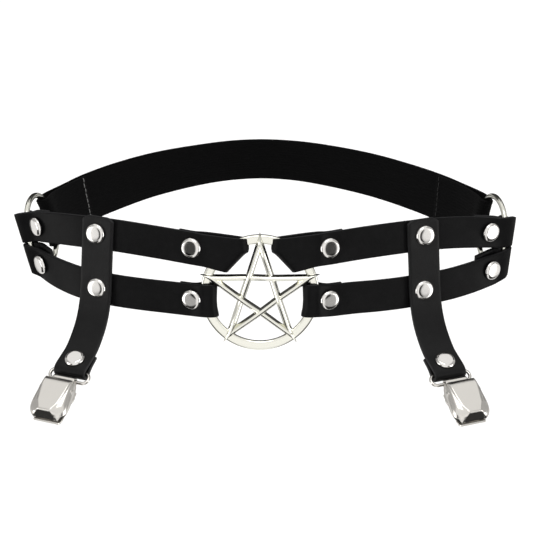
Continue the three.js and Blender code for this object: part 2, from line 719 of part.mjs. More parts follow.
// Elastic: inner tail, fold round the side ring, the long way round the back, and the same again.
const ELASTIC_PATH = [
  { x: -79.6, y: 7.2, lean: -13 },
  { x: -73.6, y: 17.6, lean: -12 },
  { x: -61.6, y: 33.2, lean: -8 },
  { x: -45.8, y: 48.9, lean: 1 },
  { x: -25.2, y: 62.2, lean: 10 },
  { x: -12.6, y: 67.4, lean: 12 },
  { x: 0.0, y: 69.2, lean: 13 },
  { x: 12.6, y: 67.3, lean: 12 },
  { x: 25.2, y: 62.1, lean: 9 },
  { x: 45.6, y: 49.0, lean: 4 },
  { x: 61.2, y: 34.4, lean: 0 },
  { x: 74.2, y: 19.2, lean: -4 },
  { x: 82.4, y: 7.0, lean: -6 },
];

function elasticRows() {
  const frames = ELASTIC_PATH.map((row, i) => {
    const before = ELASTIC_PATH[Math.max(i - 1, 0)];
    const after = ELASTIC_PATH[Math.min(i + 1, ELASTIC_PATH.length - 1)];
    const level = V(-(after.y - before.y), after.x - before.x, 0).normalize();
    const lean = rad(row.lean);
    const up = level.clone().multiplyScalar(-Math.sin(lean)).add(V(0, 0, Math.cos(lean)));
    return { at: V(row.x, row.y, 0), up, out: level };
  });
  const lift = SIDE_WIRE + GAP + ELASTIC_THICK / 2;
  const pitch = ELASTIC_THICK + 0.35;
  const onFrame = (frame, depth, steps) => ({
    steps,
    at: (v) => frame.at.clone().addScaledVector(frame.up, v).addScaledVector(frame.out, -depth),
  });
  const foldRows = (ring, back) => {
    const stop = (v) => {
      const wire = Math.sqrt(SIDE_RING_RADIUS ** 2 - Math.min(Math.abs(v), 10) ** 2);
      return -(0.55 * 6.9 + 0.45 * (wire - lift - 0.4));
    };
    const turnRow = (degrees) => ({
      steps: 1,
      at: (v) => {
        const l = stop(v) - lift * (1 - Math.cos(rad(degrees)));
        return ring.at(l, v, lift * Math.sin(rad(degrees)));
      },
    });
    const near = (h, steps) => ({ steps, at: (v) => ring.at(-16.2, v, h) });
    const rows = [near(-lift, 1), turnRow(-90), turnRow(-45), turnRow(0), turnRow(45), turnRow(90), near(lift, 2)];
    return back ? rows.reverse() : rows;
  };
  const n = frames.length;
  const between = (a, b, share, depth, steps) => ({
    steps,
    at: (v) => a.at.clone().lerp(b.at, share)
      .addScaledVector(a.up.clone().lerp(b.up, share), v)
      .addScaledVector(a.out, -depth),
  });
  return [
    between(frames[0], frames[1], -0.12, pitch, 2),
    ...foldRows(sideRings.left, false),
    ...frames.map((frame) => onFrame(frame, 0, 1)),
    ...foldRows(sideRings.right, true),
    between(frames[n - 1], frames[n - 2], -0.12, pitch, 1),
  ];
}
const elastic = sheet(elasticRows(), ELASTIC_WIDTH, ELASTIC_THICK, 4);
add("elastic_band", subtractAll(elastic, [sideRoom(sideRings.left), sideRoom(sideRings.right)]), webbing);

// Metalwork
const starMesh = add("star_ring", geometryOf(star), silver);
starMesh.applyMatrix4(starFrame);
for (const [name, ring] of Object.entries(sideRings)) {
  const mesh = add(`side_ring_${name}`, torus(SIDE_RING_RADIUS, SIDE_WIRE, SIDE_WIRE, 24, 6), silver);
  mesh.applyMatrix4(sideMatrix(ring));
}
for (const rivet of rivets) {
  const turned = solidOf(new THREE.LatheGeometry(rivetProfile(rivet.stack), 10));
  const mesh = add(rivet.name, geometryOf(turned), nickel);
  mesh.applyMatrix4(rivetMatrix(rivet.at, rivet.out));
}
const frameSolid = clipFrame();
const coverSolid = clipCover();
for (const [name, spec] of Object.entries(GARTERS)) {
  const matrix = clipMatrix(spec);
  add(`clip_frame_${name}`, geometryOf(frameSolid), nickel).applyMatrix4(matrix);
  add(`clip_lever_${name}`, geometryOf(coverSolid), nickel).applyMatrix4(matrix);
  add(`clip_wire_${name}`, wireLoop(), nickel).applyMatrix4(matrix);
}

export default harness;
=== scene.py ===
"""Thigh harness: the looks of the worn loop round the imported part.

Shapes are worked out in millimetres in the part's own frame (+Z up, -Y the front of the thigh, the
origin in the middle of the loop) and are scaled to metres when a mesh is made. A strap is a grid:
rows along it, each row a function of the place across its width.
"""

import bmesh
import bpy
import numpy as np
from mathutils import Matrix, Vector


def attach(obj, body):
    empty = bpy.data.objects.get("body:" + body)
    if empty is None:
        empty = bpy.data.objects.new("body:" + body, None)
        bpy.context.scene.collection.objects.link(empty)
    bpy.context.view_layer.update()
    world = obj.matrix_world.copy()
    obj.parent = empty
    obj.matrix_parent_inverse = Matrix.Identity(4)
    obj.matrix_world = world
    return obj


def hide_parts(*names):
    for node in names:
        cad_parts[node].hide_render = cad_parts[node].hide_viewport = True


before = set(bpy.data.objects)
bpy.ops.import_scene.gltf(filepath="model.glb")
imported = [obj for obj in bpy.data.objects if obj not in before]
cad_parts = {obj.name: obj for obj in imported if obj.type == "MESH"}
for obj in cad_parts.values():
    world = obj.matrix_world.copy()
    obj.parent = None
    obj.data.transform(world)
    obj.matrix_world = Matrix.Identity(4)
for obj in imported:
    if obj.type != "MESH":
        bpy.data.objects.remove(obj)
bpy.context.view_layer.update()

MM = 0.001
MM_PER_UV = 10
BODY = "harness"

# Driving sizes in millimetres. The bars of the star are finished finer than in the part's source.
STRAP_WIDTH = 12.5
LEATHER = 1.6
LAYER_PITCH = 1.95
GAP = 0.3
ELASTIC_WIDTH = 20
ELASTIC_THICK = 1.3
GARTER_WIDTH = 13
RING_RADIUS = 20.6
RING_HALF_WIDTH = 1.8
RING_HALF_THICK = 1.2
RING_CENTRE = np.array([-0.4, -66.8, -7.2])
RING_LEAN = 9
STAR_RADIUS = 23.6
BAR_WIDTH = 2.65
BAR_HEIGHT = 2.0
SIDE_RING_RADIUS = 13.9
SIDE_WIRE = 1.1
CLIP_WIRE = 0.65
SIDES = {"left": -1, "right": 1}

# Stations of a fold, in degrees of its half turn
HALF_TURN = (-90, -45, 0, 45, 90)


def sin(degrees):
    """Sine of an angle in degrees."""
    return np.sin(np.radians(degrees))


def cos(degrees):
    """Cosine of an angle in degrees."""
    return np.cos(np.radians(degrees))


def vec(x, y, z):
    """Three numbers or arrays as points along a last axis."""
    return np.stack(np.broadcast_arrays(x, y, z), axis=-1).astype(float)


def unit(v):
    """Vectors scaled to length one."""
    return v / np.linalg.norm(v, axis=-1, keepdims=True)


# Meshes


def quads(rows, columns, wrap_rows=False, wrap_columns=False):
    """Faces of a grid of points numbered row by row: each joins a point to its three next ones."""
    i = np.arange(rows if wrap_rows else rows - 1)[:, None]
    j = np.arange(columns if wrap_columns else columns - 1)[None, :]
    right = (j + 1) % columns
    down = (i + 1) % rows
    corners = [i * columns + j, i * columns + right, down * columns + right, down * columns + j]
    return np.stack(np.broadcast_arrays(*corners), axis=-1).reshape(-1, 4)


def facing_out(points, faces):
    """Faces turned over if the volume they enclose, summed as pyramids from the origin, is negative."""
    volume = 0.0
    for k in range(1, faces.shape[1] - 1):
        a, b, c = points[faces[:, 0]], points[faces[:, k]], points[faces[:, k + 1]]
        volume += np.einsum("ij,ij->", a, np.cross(b, c))
    return faces if volume > 0 else faces[:, ::-1]


def shell(grid, wrap_rows=False, wrap_columns=False):
    """One closed surface over a grid of points: its points and its faces."""
    rows, columns = grid.shape[:2]
    points = grid.reshape(-1, 3)
    faces = quads(rows, columns, wrap_rows, wrap_columns)
    return {"points": points, "faces": facing_out(points, faces)}


def both_faces(outer, inner):
    """A grid of the outer face, and beside it the one of the inner face, back across."""
    return np.concatenate([outer, inner[:, ::-1]], axis=1)


def sheet_skin(outer, inner):
    """Two grids, one behind the other, joined all round: one skin, walled at its first and last row."""
    ring = both_faces(outer, inner)
    rows, columns = ring.shape[:2]
    skin = quads(rows, columns, wrap_columns=True)
    j = np.arange(columns // 2 - 1)
    first = np.stack([j + 1, j, columns - 1 - j, columns - 2 - j], axis=-1)
    last = first[:, ::-1] + (rows - 1) * columns
    points = ring.reshape(-1, 3)
    return {"points": points, "faces": facing_out(points, np.concatenate([skin, first, last]))}


def make_piece(name, shells, material, replaces=(), body=BODY, crease=40):
    """A mesh piece from shells, in metres, smooth but for edges that turn by more than crease degrees."""
    points = np.concatenate([part["points"] for part in shells])
    faces = []
    start = 0
    for part in shells:
        faces.extend((part["faces"] + start).tolist())
        start += len(part["points"])
    mesh = bpy.data.meshes.new(name)
    mesh.from_pydata((points * MM).tolist(), [], faces)
    if "edge" in shells[0]:
        attribute = mesh.attributes.new("cut_edge", "FLOAT", "POINT")
        values = np.concatenate([part["edge"].ravel() for part in shells])
        attribute.data.foreach_set("value", values.astype(np.float32))
    if "uv" in shells[0]:
        corner = np.zeros(len(mesh.loops), np.int32)
        mesh.loops.foreach_get("vertex_index", corner)
        spread = np.concatenate([part["uv"].reshape(-1, 2) for part in shells])
        layer = mesh.uv_layers.new(name="strip")
        layer.data.foreach_set("uv", spread[corner].astype(np.float32).ravel())
    work = bmesh.new()
    work.from_mesh(mesh)
    bmesh.ops.remove_doubles(work, verts=work.verts, dist=1e-7)
    bmesh.ops.dissolve_degenerate(work, edges=work.edges, dist=1e-8)
    work.to_mesh(mesh)
    work.free()
    mesh.shade_smooth()
    mesh.set_sharp_from_angle(angle=np.radians(crease))
    obj = bpy.data.objects.new(name, mesh)
    bpy.context.scene.collection.objects.link(obj)
    mesh.materials.append(material)
    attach(obj, body)
    if replaces:
        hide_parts(*replaces)
    return obj


def smooth(rows, t):
    """Curves through rows of points, one for each column, at the places t, counted in rows.

    Each stretch is a cubic. Its end slopes come from the three chords round it, each weighted by the
    square root of its length, and the first and last chords are continued straight on."""
    points = np.concatenate([2 * rows[:1] - rows[1:2], rows, 2 * rows[-1:] - rows[-2:-1]])
    root = np.sqrt(np.linalg.norm(np.diff(points, axis=0), axis=-1, keepdims=True))
    root = np.maximum(root, 1e-4)
    d0, d1, d2 = root[:-2], root[1:-1], root[2:]
    p0, p1, p2, p3 = points[:-3], points[1:-2], points[2:-1], points[3:]
    leave = ((p1 - p0) / d0 - (p2 - p0) / (d0 + d1) + (p2 - p1) / d1) * d1
    arrive = ((p2 - p1) / d1 - (p3 - p1) / (d1 + d2) + (p3 - p2) / d2) * d1
    i = np.clip(np.floor(t).astype(int), 0, len(rows) - 2)
    w = (t - i)[:, None, None]
    a, b, u, v = p1[i], p2[i], leave[i], arrive[i]
    return a + u * w + (3 * (b - a) - 2 * u - v) * w**2 + (2 * (a - b) + u + v) * w**3


# Stations of a rounded edge in degrees, steps between two rows when a strap's length is measured, and
# how deep a rivet's push goes through a strap
ROUNDED_END = np.array([90, 60, 30])
STEPS_A_ROW = 24
PRESSED_LAYER = 1.6


def strip_places(length, spacing, rounding):
    """Places along a length: even in the middle, and closer together round both ends."""
    ends = rounding * (1 - sin(ROUNDED_END))
    count = max(int(length / spacing), 2)
    middle = np.linspace(rounding, length - rounding, count)
    return np.concatenate([ends, middle, length - ends[::-1]])


def strap_sheet(rows, width, thickness, spacing=0.8, across=0.7, rounding=0.35, ribs=None, press=()):
    """A strap: its middle sheet follows the rows, and each face lies half a thickness off along the
    normal. Near an edge or an end the half thickness drops as a quarter circle.

    ribs adds ridges along the strap, and press holds places that a rivet pushes in. Returns the strap
    and its length along the middle sheet."""
    v = strip_places(width, across, rounding) - width / 2
    lines = np.stack([row(v) for row in rows])
    fine = np.linspace(0, len(rows) - 1, (len(rows) - 1) * STEPS_A_ROW + 1)
    spine = smooth(lines[:, [len(v) // 2]], fine)[:, 0]
    run = np.concatenate([[0], np.cumsum(np.linalg.norm(np.diff(spine, axis=0), axis=-1))])
    s = strip_places(run[-1], spacing, rounding)
    middle = smooth(lines, np.interp(s, run, fine))
    along = np.gradient(middle, s, axis=0)
    over = np.gradient(middle, v, axis=1)
    normal = unit(np.cross(along, over))
    for at, out, depth, reach in press:
        away = middle - at
        height = away @ out
        radius = np.linalg.norm(away - height[..., None] * out, axis=-1)
        pushed = depth * np.exp(-((radius / reach) ** 4)) * np.exp(-((height / PRESSED_LAYER) ** 2))
        middle = middle - pushed[..., None] * out
    edge_v = np.clip(np.abs(v) - (width / 2 - rounding), 0, rounding)
    edge_s = np.clip(rounding - np.minimum(s, s[-1] - s), 0, rounding)
    edge = np.maximum(edge_v[None, :], edge_s[:, None])
    half = thickness / 2 - rounding + np.sqrt(rounding**2 - edge**2)
    if ribs is not None:
        half = half + ribs(s[:, None], v[None, :]) * (1 - edge / rounding)
    step = normal * half[..., None]
    cut = (edge / rounding) ** 2
    spread = np.stack(np.broadcast_arrays(s[:, None], v[None, :]), axis=-1) / MM_PER_UV
    part = sheet_skin(middle + step, middle - step)
    part["edge"] = both_faces(cut, cut)
    part["uv"] = both_faces(spread, spread)
    return part, s[-1]


def lathe(profile, sides, matrix):
    """A profile of radius and height turned round the third axis of a frame; it starts and ends on
    the axis, where its points are merged."""
    angle = 2 * np.pi * np.arange(sides) / sides
    radius, height = np.array(profile, float).T
    turned = vec(radius[:, None] * np.cos(angle), radius[:, None] * np.sin(angle), height[:, None])
    return shell(place(turned, matrix), wrap_columns=True)


def tube(path, radius, up, sides=16, closed=True):
    """A round wire: a circle carried along a path, square to it, with up never along the path. An open
    one is closed at its two ends."""
    step = np.roll(path, -1, axis=0) - np.roll(path, 1, axis=0)
    if not closed:
        step[0], step[-1] = path[1] - path[0], path[-1] - path[-2]
    along = unit(step)
    side = unit(np.cross(along, up))
    rise = np.cross(side, along)
    angle = 2 * np.pi * np.arange(sides) / sides
    circle = np.cos(angle)[None, :, None] * side[:, None] + np.sin(angle)[None, :, None] * rise[:, None]
    grid = path[:, None] + radius * circle
    if not closed:
        first, last = (np.repeat(path[[i]], sides, axis=0)[None] for i in (0, -1))
        grid = np.concatenate([first, grid, last])
    return shell(grid, wrap_rows=closed, wrap_columns=True)


def prism(outline, low, high, bevel, matrix):
    """An outline raised from low to high, its two rims drawn in by the bevel towards its middle."""
    outline = np.array(outline, float)
    middle = outline.mean(axis=0)
    inner = middle + (outline - middle) * (1 - bevel / np.abs(outline - middle).max())
    layers = [(inner, low), (outline, low + bevel), (outline, high - bevel), (inner, high)]
    centre = np.repeat(middle[None], len(outline), axis=0)
    layers = [(centre, low), *layers, (centre, high)]
    grid = np.stack([vec(flat[:, 0], flat[:, 1], level) for flat, level in layers])
    return shell(place(grid, matrix), wrap_columns=True)


def place(points, matrix):
    """Points in a frame whose axes are the first three columns and whose origin is the last."""
    return points @ matrix[:, :3].T + matrix[:, 3]


def frame_of(x, y, z, origin):
    """A frame as three axes and an origin, side by side."""
    return np.column_stack([x, y, z, origin])


# Frames of the rings

star_frame = frame_of([1, 0, 0], [0, sin(RING_LEAN), cos(RING_LEAN)],
                      [0, -cos(RING_LEAN), sin(RING_LEAN)], RING_CENTRE)


def on_star(x, y, h):
    """Points given to the right and up in the star ring's plane, and out of it."""
    return place(vec(x, y, h), star_frame)


# Where each side ring hangs, how far it is turned and leans out, and how its straps lie in it: how much
# they draw in there, how they drop towards it, and how much lower they are
SIDE_RINGS = {
    "left": {"centre": [-87.9, -19.1, 0], "turn": 12.5, "lean": 14,
             "squeeze": 0.82, "drop": 0, "lower": 0},
    "right": {"centre": [92, -20.4, 0], "turn": 15, "lean": 6,
              "squeeze": 0.74, "drop": 0.19, "lower": 0.2},
}


def side_ring_frame(name):
    """Forward along the loop, up, and out of the thigh, for a side ring."""
    ring = SIDE_RINGS[name]
    side = SIDES[name]
    level = np.array([side * cos(ring["turn"]), sin(ring["turn"]), 0])
    forward = np.array([side * sin(ring["turn"]), -cos(ring["turn"]), 0])
    z = np.array([0, 0, 1])
    up = level * sin(ring["lean"]) + z * cos(ring["lean"])
    out = level * cos(ring["lean"]) - z * sin(ring["lean"])
    return frame_of(forward, up, out, ring["centre"])


side_frames = {name: side_ring_frame(name) for name in SIDES}

# Middle line of each strap between the rings, on the middle of the outer layer: x, y and z, then the
# turn of the surface from facing front and how far its top tips towards the thigh, in degrees. Level
# is its height in the side ring. The side rivet and the end of the inner tail are counted in the last
# stretch's length from its end, and tilt is how far that rivet is turned on from the leather.
STRAPS = {
    ("upper", "left"): {"level": 6.6, "rivet": 0.35, "tilt": 6, "path": [
        (-26.0, -65.0, 10.0, 19, 9), (-35.0, -61.4, 10.3, 20, 8), (-45.0, -57.6, 10.6, 21, 8),
        (-54.0, -54.2, 10.8, 22, 8), (-62.0, -50.7, 10.6, 24, 8), (-71.0, -46.5, 10.1, 29, 7),
        (-78.5, -42.1, 9.3, 37, 4), (-84.4, -37.8, 8.2, 43, 0), (-88.6, -34.5, 7.2, 46, -5),
    ]},
    ("lower", "left"): {"level": -6.6, "rivet": 0.3, "tilt": 6, "path": [
        (-26.0, -67.4, -10.0, 23, 9), (-35.0, -63.9, -10.4, 22, 8), (-45.0, -60.3, -10.7, 21, 8),
        (-54.0, -56.9, -10.8, 22, 8), (-62.0, -53.4, -10.7, 24, 8), (-71.0, -48.7, -10.1, 30, 6),
        (-78.4, -43.1, -9.4, 37, 2), (-83.7, -38.2, -8.7, 43, -3), (-87.2, -34.8, -8.0, 47, -7),
    ]},
    ("upper", "right"): {"level": 6.6, "rivet": 0.9, "tilt": 2, "tail": 2.0, "path": [
        (25.6, -64.4, 9.7, 19, 9), (35.0, -60.4, 9.8, 21, 8), (45.0, -56.3, 9.8, 22, 8),
        (54.0, -52.5, 9.6, 23, 8), (61.6, -49.0, 9.2, 23, 8), (72.0, -44.8, 8.5, 25, 8),
        (81.0, -41.0, 7.3, 29, 7), (88.5, -37.8, 6.0, 32, 3), (93.2, -35.8, 5.0, 33, -1),
    ]},
    ("lower", "right"): {"level": -6.6, "rivet": 0.5, "tilt": 7, "tail": 1.75, "path": [
        (25.6, -67.0, -10.4, 23, 9), (35.0, -63.0, -11.0, 22, 8), (45.0, -58.9, -11.8, 22, 8),
        (54.0, -55.2, -12.2, 23, 8), (61.6, -51.8, -12.3, 23, 8), (72.0, -47.3, -12.1, 25, 8),
        (81.0, -42.8, -11.3, 28, 8), (88.0, -39.0, -10.3, 31, 5), (92.4, -36.3, -9.7, 32, 0),
    ]},
}

# Where a strap's fold stops inside the star ring, as x from the ring's middle for each height y. The
# strap's middle line is at the height middle at the ring's edge, and falls by the slope and widens by
# the spread with each millimetre further in.
RING_EDGE = 21
RING_FOLD = {
    "upper": {"middle": 16.7, "slope": 0.2, "spread": 0.011,
              "height": [6.5, 10, 15.2, 16.2, 18.5, 21], "stop": [13.6, 10.5, 5.6, 4.0, 4.1, 4.3]},
    "lower": {"middle": -2.8, "slope": 0.04, "spread": 0,
              "height": [-10, -8.4, -6, -3, 0, 2.6, 4], "stop": [15.3, 15.5, 16.0, 16.2, 16.1, 16.0, 16.2]},
}


def strap_frame(side, row):
    """Place, up and out of a strap's surface at a row of its table."""
    x, y, z, turn, lean = row
    level = np.array([side * sin(turn), -cos(turn), 0])
    up = -level * sin(lean) + np.array([0, 0, cos(lean)])
    out = level * cos(lean) + np.array([0, 0, sin(lean)])
    return np.array([x, y, z]), up, out


def star_fold_rows(side, fold):
    """Rows of the fold round the star ring: two flat faces joined by a half circle round the band,
    drawn in or out with height so that the fold's edge follows the ring."""
    lift = RING_HALF_THICK + GAP + LEATHER / 2
    typical = 14.0
    flat_at = RING_EDGE + GAP

    def height(x, v):
        back = RING_EDGE - x
        return fold["middle"] - fold["slope"] * back + v * (1 + fold["spread"] * back)

    def stop(v):
        x = np.full_like(v, typical)
        for _ in range(6):
            x = np.interp(height(x, v), fold["height"], fold["stop"]) + LEATHER / 2
        return x

    def turned(degrees):
        def row(v):
            rise = np.minimum(np.abs(height(typical, v)) / RING_RADIUS, 0.87)
            x = stop(v) + lift / np.sqrt(1 - rise**2) * (1 - cos(degrees))
            return on_star(side * x, height(x, v), lift * sin(degrees))
        return row

    def flat(h):
        return lambda v: on_star(side * flat_at, height(flat_at, v), h)

    return [flat(-lift), *[turned(degrees) for degrees in HALF_TURN], flat(lift)]


def side_fold_rows(name, level):
    """Rows of the fold round a side ring: out along the band, half round the wire, and back. The
    strap draws in to fit inside the ring, and its edge follows the wire's circle."""
    matrix = side_frames[name]
    squeeze = SIDE_RINGS[name]["squeeze"]
    drop = SIDE_RINGS[name]["drop"]
    lift = SIDE_WIRE + GAP + LEATHER / 2
    drop_from = 9
    flat_at = 14.4

    def at(along, v, h, narrow):
        return place(vec(along, (level + v) * narrow - drop * (along - drop_from), h), matrix)

    def turned(degrees):
        def row(v):
            wire = np.sqrt(SIDE_RING_RADIUS**2 - np.minimum(np.abs(level + v) * squeeze, 12) ** 2)
            return at(wire - lift - GAP + lift * (1 - cos(degrees)), v, lift * sin(degrees), squeeze)
        return row

    def flat(h, narrow):
        return lambda v: at(flat_at, v, h, narrow)

    return [flat(lift, 0.97), *[turned(degrees) for degrees in HALF_TURN[::-1]], flat(-lift, 0.9)]


def surface_row(at, up, out, shift=0, depth=0):
    """A row across a strap, moved by shift and sunk by depth."""
    return lambda v: at + shift + v[:, None] * up - depth * out


# How far a strap's inner end shows above its outer layer at the side ring, and where the inner layers
# end, in lengths of the path's first and last stretch
PEEK = {"upper": 0, "lower": 1.7}
STAR_TAIL = 0.62
SIDE_TAIL = 1.25


def strap_rows(height, name):
    """Rows of one strap: inner end, fold round the star ring, the visible stretch, fold round the
    side ring, inner end."""
    spec = STRAPS[height, name]
    side = SIDES[name]
    frames = [strap_frame(side, row) for row in spec["path"]]
    first, second, last, previous = frames[0], frames[1], frames[-1], frames[-2]
    rows = [
        surface_row(*first, (second[0] - first[0]) * STAR_TAIL, LAYER_PITCH),
        surface_row(*first, 0, LAYER_PITCH),
    ]
    rows += star_fold_rows(side, RING_FOLD[height])
    rows += [surface_row(*here) for here in frames]
    rows += side_fold_rows(name, spec["level"] - SIDE_RINGS[name]["lower"])
    peek = last[1] * PEEK[height]
    tail = (previous[0] - last[0]) * spec.get("tail", SIDE_TAIL)
    return rows + [
        surface_row(*last, peek, LAYER_PITCH),
        surface_row(*last, tail + peek * 0.7, LAYER_PITCH),
    ]


# Rivets, by name: place on the outer face, out, and the thickness of the layers that they hold

RIVETS = {}

# How far a rivet sits above the strap's middle line, and how far one by the star ring nods down
ABOVE_MIDDLE = {"ring": 0.3, "side": 0.3, "post": 0.4}
NOD = {"upper": 0, "lower": 8}


def note_rivet(name, at, out, stack):
    """Keeps where a rivet goes."""
    RIVETS[name] = {"at": at, "out": out, "stack": stack}


for (height, name), spec in STRAPS.items():
    frames = [strap_frame(SIDES[name], row) for row in spec["path"]]
    pair = LEATHER + LAYER_PITCH
    short = f"{height}_{name}"
    at, up, out = frames[0]
    at = at + ABOVE_MIDDLE["ring"] * up + LEATHER / 2 * out
    note_rivet(f"rivet_{short}_ring", at, unit(out * cos(NOD[height]) - up * sin(NOD[height])), pair)
    x, y, z, turn, lean = spec["path"][-1]
    at, up, out = strap_frame(SIDES[name], (x, y, z, turn + spec["tilt"], lean))
    back = (frames[-2][0] - at) * spec["rivet"]
    at = at + back + ABOVE_MIDDLE["side"] * up + LEATHER / 2 * out
    note_rivet(f"rivet_{short}_side", at, out, pair)
    at, up, out = frames[4]
    at = at + ABOVE_MIDDLE["post"] * up + (LEATHER * 1.5 + GAP) * out
    note_rivet(f"rivet_{short}_post", at, out, pair)

# Garter straps: out is the distance from the leather's outer face and z the height, down the middle.
# Each one's own middle is at x and y, turned from facing front, and dropped.

GARTERS = {
    "left": {"x": -63.15, "y": -54.7, "turn": 24, "drop": 0},
    "right": {"x": 62.8, "y": -53.25, "turn": 23, "drop": -1.5},
}
GARTER_DRAPE = [
    (-2.4, 17.9), (-1.45, 10.7), (0.0, 0.0), (1.45, -10.7), (3.0, -16.6), (5.7, -22.2),
    (9.7, -27.0), (14.6, -31.0), (19.0, -32.9),
]
CLIP_PITCH = 34
BEND = CLIP_WIRE + GAP + LEATHER / 2

# The wire in the fold: its out and height on the drape's end, and how far it is behind the leather
WIRE_AT = (22.6, -34.9)
WIRE_BEHIND = 1.8

# A garter strap's top corners, from this far out, are cut as a parabola
CORNER_FROM = 3.4
CORNER_CURVE = 0.17


def garter_at(name, out, z, v):
    """Points of a garter strap from its own out, height and place across."""
    spec = GARTERS[name]
    side = SIDES[name]
    outward = np.array([side * sin(spec["turn"]), -cos(spec["turn"]), 0])
    over = np.array([cos(spec["turn"]), side * sin(spec["turn"]), 0])
    base = np.array([spec["x"], spec["y"], spec["drop"]])
    field = np.asarray(out)[..., None] * outward + np.asarray(v)[..., None] * over
    return base + field + np.asarray(z)[..., None] * np.array([0, 0, 1.0])


def garter_end(name):
    """Frame at the wire in the strap's fold: down the strap, across it, and out of its front."""
    origin = garter_at(name, 0, 0, 0)
    outward = garter_at(name, 1, 0, 0) - origin
    over = garter_at(name, 0, 0, 1) - origin
    z = np.array([0, 0, 1])
    down = outward * cos(CLIP_PITCH) - z * sin(CLIP_PITCH)
    lift = outward * sin(CLIP_PITCH) + z * cos(CLIP_PITCH)
    wire = garter_at(name, *WIRE_AT, 0) - WIRE_BEHIND * lift
    return frame_of(down, over, lift, wire)


def garter_rows(name):
    """Rows of a garter strap: down the loop's front, out over the clip, and folded round its wire."""
    end = garter_end(name)

    def drape(i, out, z):
        def row(v):
            corner = CORNER_CURVE * np.maximum(0, np.abs(v) - CORNER_FROM) ** 2 * (i == 0)
            return garter_at(name, out + corner * 0.14 - LEATHER / 2, z - corner, v)
        return row

    def near(a, h):
        return lambda v: place(vec(a, v, h), end)

    rows = [drape(i, out, z) for i, (out, z) in enumerate(GARTER_DRAPE)]
    rows += [near(BEND * cos(degrees), BEND * sin(degrees)) for degrees in HALF_TURN[::-1]]
    return rows + [near(-3.6, -1.3), near(-8.6, -1.75)]


# The end rivet of a garter strap: how far it is back from the wire, how high the strap's middle is
# there, how much flatter the strap lies there than the clip, and the layers that it holds
END_RIVET = {"back": 4.6, "rise": 1.0, "flatter": 12, "stack": 4.0}

for name in SIDES:
    end = garter_end(name)
    down, lift, wire = end[:, 0], end[:, 2], end[:, 3]
    at = wire - END_RIVET["back"] * down + (END_RIVET["rise"] + LEATHER / 2) * lift
    out = lift * cos(END_RIVET["flatter"]) - down * sin(END_RIVET["flatter"])
    note_rivet(f"rivet_garter_{name}", at, out, END_RIVET["stack"])


def pressed(names, depth=0.14, reach=5.2):
    """Where rivets push the leather in, how deep and how far round, for strap_sheet."""
    return [(RIVETS[n]["at"] - LEATHER / 2 * RIVETS[n]["out"], RIVETS[n]["out"], depth, reach)
            for n in names]


# Elastic: x, y and the lean of the band's top towards the thigh, round the back from left to right

ELASTIC_PATH = [
    (-79.6, 7.2, -13), (-73.6, 17.6, -12), (-61.6, 33.2, -8), (-45.8, 48.9, 1), (-25.2, 62.2, 10),
    (-12.6, 67.4, 12), (0.0, 69.2, 13), (12.6, 67.3, 12), (25.2, 62.1, 9), (45.6, 49.0, 4),
    (61.2, 34.4, 0), (74.2, 19.2, -4), (82.4, 7.0, -6),
]
ELASTIC_PITCH = ELASTIC_THICK + 0.35
RIB_PITCH = 1.25
THREAD_PITCH = 0.62


def elastic_rows():
    """Rows of the elastic: inner end, fold round the left ring, the way round the back, fold round
    the right ring, inner end. Each fold's edge is a blend of a straight line and the ring's curve."""
    path = np.array([(x, y, 0) for x, y, _ in ELASTIC_PATH], float)
    step = np.diff(path, axis=0)
    step = np.concatenate([step[:1], path[2:] - path[:-2], step[-1:]])
    level = unit(np.stack([-step[:, 1], step[:, 0], 0 * step[:, 0]], axis=-1))
    lean = np.array([row[2] for row in ELASTIC_PATH])[:, None]
    up = -level * sin(lean) + np.array([0, 0, 1]) * cos(lean)
    lift = SIDE_WIRE + GAP + ELASTIC_THICK / 2
    straight = 6.9
    flat_at = -16.2

    def around(name):
        matrix = side_frames[name]

        def turned(degrees):
            def row(v):
                wire = np.sqrt(SIDE_RING_RADIUS**2 - np.minimum(np.abs(v), 10) ** 2)
                curved = wire - lift - 0.4
                stop = -(0.55 * straight + 0.45 * curved)
                return place(vec(stop - lift * (1 - cos(degrees)), v, lift * sin(degrees)), matrix)
            return row

        def flat(h):
            return lambda v: place(vec(flat_at, v, h), matrix)

        return [flat(-lift), *[turned(degrees) for degrees in HALF_TURN], flat(lift)]

    def layer(places, depth):
        return [surface_row(path[i], up[i], level[i], 0, depth) for i in places]

    rows = [*layer((1, 0), ELASTIC_PITCH), *around("left")]
    rows += layer(range(len(path)), 0)
    rows += [*around("right")[::-1], *layer((-1, -2), ELASTIC_PITCH)]
    ends = [(path[i], path[j], up[i], level[i]) for i, j in ((1, 0), (-2, -1))]
    return rows, ends


# A line of stitches: how far it is from the tail's end, the pitch and half length of a stitch, and the
# thread's radius
STITCH_LINE = 1.8
STITCH_PITCH = 2.2
STITCH_HALF = 0.8
STITCH_RADIUS = 0.2


def stitches(at, beside, up, level):
    """A line of stitches across a tail's end: each is a short round thread, sunk at both ends as the
    fourth power of the place along it, and set a little to one side or the other."""
    step = unit(beside - at)
    face = at + STITCH_LINE * step - (ELASTIC_PITCH + ELASTIC_THICK / 2) * level
    t = np.linspace(-1, 1, 13)[:, None]
    sunk = (0.24 * t**4 - 0.1) * level
    parts = []
    for v in STITCH_PITCH * np.arange(-4, 5):
        path = face + (v + STITCH_HALF * t) * up + 0.15 * np.sin(v * 7) * step + sunk
        parts.append(tube(path, STITCH_RADIUS, step, 10, False))
    return parts


def elastic_ribs(s, v):
    """Fine ridges along the elastic, one for each covered rubber thread, with a slow waver."""
    return 0.05 * np.cos(2 * np.pi * v / RIB_PITCH) + 0.012 * np.sin(s * 0.9 + 1.7 * v)


# Star: five bars between the points of a pentagram, each over the first bar that it meets and under
# the second, cast in one with a flat-backed ring

